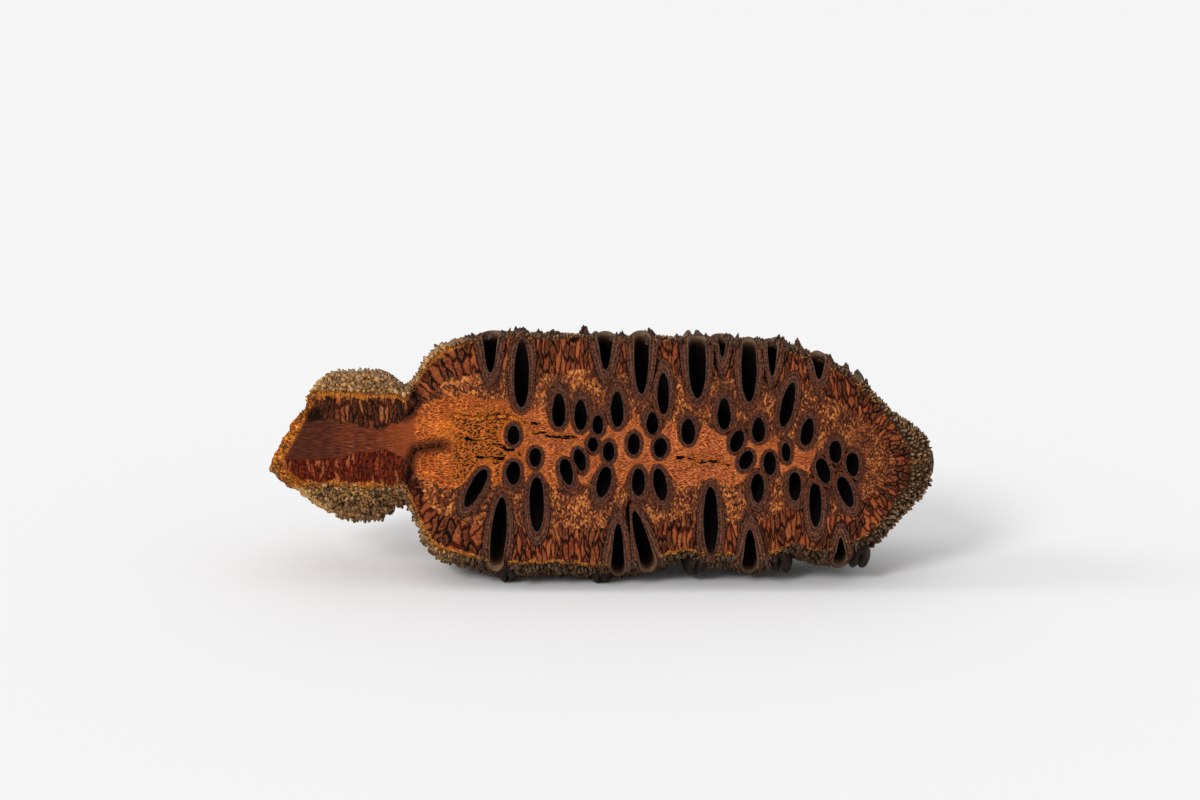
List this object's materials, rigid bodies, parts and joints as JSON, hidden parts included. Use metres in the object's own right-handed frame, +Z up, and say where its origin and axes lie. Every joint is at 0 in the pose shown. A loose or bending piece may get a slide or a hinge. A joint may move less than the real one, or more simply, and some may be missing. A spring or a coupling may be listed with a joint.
{
  "type": "banksia cone",
  "caption": "Dry banksia cone sawn lengthwise, lying on its rounded side with the sawn face leaning back: woody core, packed bracts and open follicles.",
  "frame": {"origin": "centre of the footprint, on the surface that the cone lies on", "axes": "+X along the cone from the stalk to the tip, +Z up, the sawn face looks towards -Y and leans back"},
  "size_m": [0.213, 0.0675, 0.0801],
  "materials": {
    "axis_wood": "sawn, dry, orange-brown",
    "bract": "dry packed bracts, rough",
    "follicle_wall": "hard woody wall, matt"
  },
  "bodies": {
    "root": {"woody_axis": "axis_wood", "bract_mass": "bract", "follicle_01": "follicle_wall", "follicle_02": "follicle_wall", "follicle_03": "follicle_wall", "follicle_04": "follicle_wall", "follicle_05": "follicle_wall", "follicle_06": "follicle_wall", "follicle_07": "follicle_wall", "follicle_08": "follicle_wall", "follicle_09": "follicle_wall", "follicle_10": "follicle_wall", "follicle_11": "follicle_wall", "follicle_12": "follicle_wall", "follicle_13": "follicle_wall", "follicle_14": "follicle_wall", "follicle_15": "follicle_wall", "follicle_16": "follicle_wall", "follicle_17": "follicle_wall", "follicle_18": "follicle_wall", "follicle_19": "follicle_wall", "follicle_20": "follicle_wall", "follicle_21": "follicle_wall", "follicle_22": "follicle_wall", "follicle_23": "follicle_wall", "follicle_24": "follicle_wall", "follicle_25": "follicle_wall", "follicle_26": "follicle_wall", "follicle_27": "follicle_wall", "follicle_28": "follicle_wall", "follicle_29": "follicle_wall", "follicle_30": "follicle_wall", "follicle_31": "follicle_wall", "follicle_32": "follicle_wall", "follicle_33": "follicle_wall", "follicle_34": "follicle_wall", "follicle_35": "follicle_wall", "follicle_36": "follicle_wall", "follicle_37": "follicle_wall", "follicle_38": "follicle_wall", "follicle_39": "follicle_wall", "follicle_40": "follicle_wall", "follicle_41": "follicle_wall", "follicle_42": "follicle_wall", "follicle_43": "follicle_wall", "follicle_44": "follicle_wall", "follicle_45": "follicle_wall", "follicle_46": "follicle_wall", "follicle_47": "follicle_wall", "follicle_48": "follicle_wall", "follicle_49": "follicle_wall", "follicle_50": "follicle_wall", "follicle_51": "follicle_wall"}
  },
  "joints": []
}
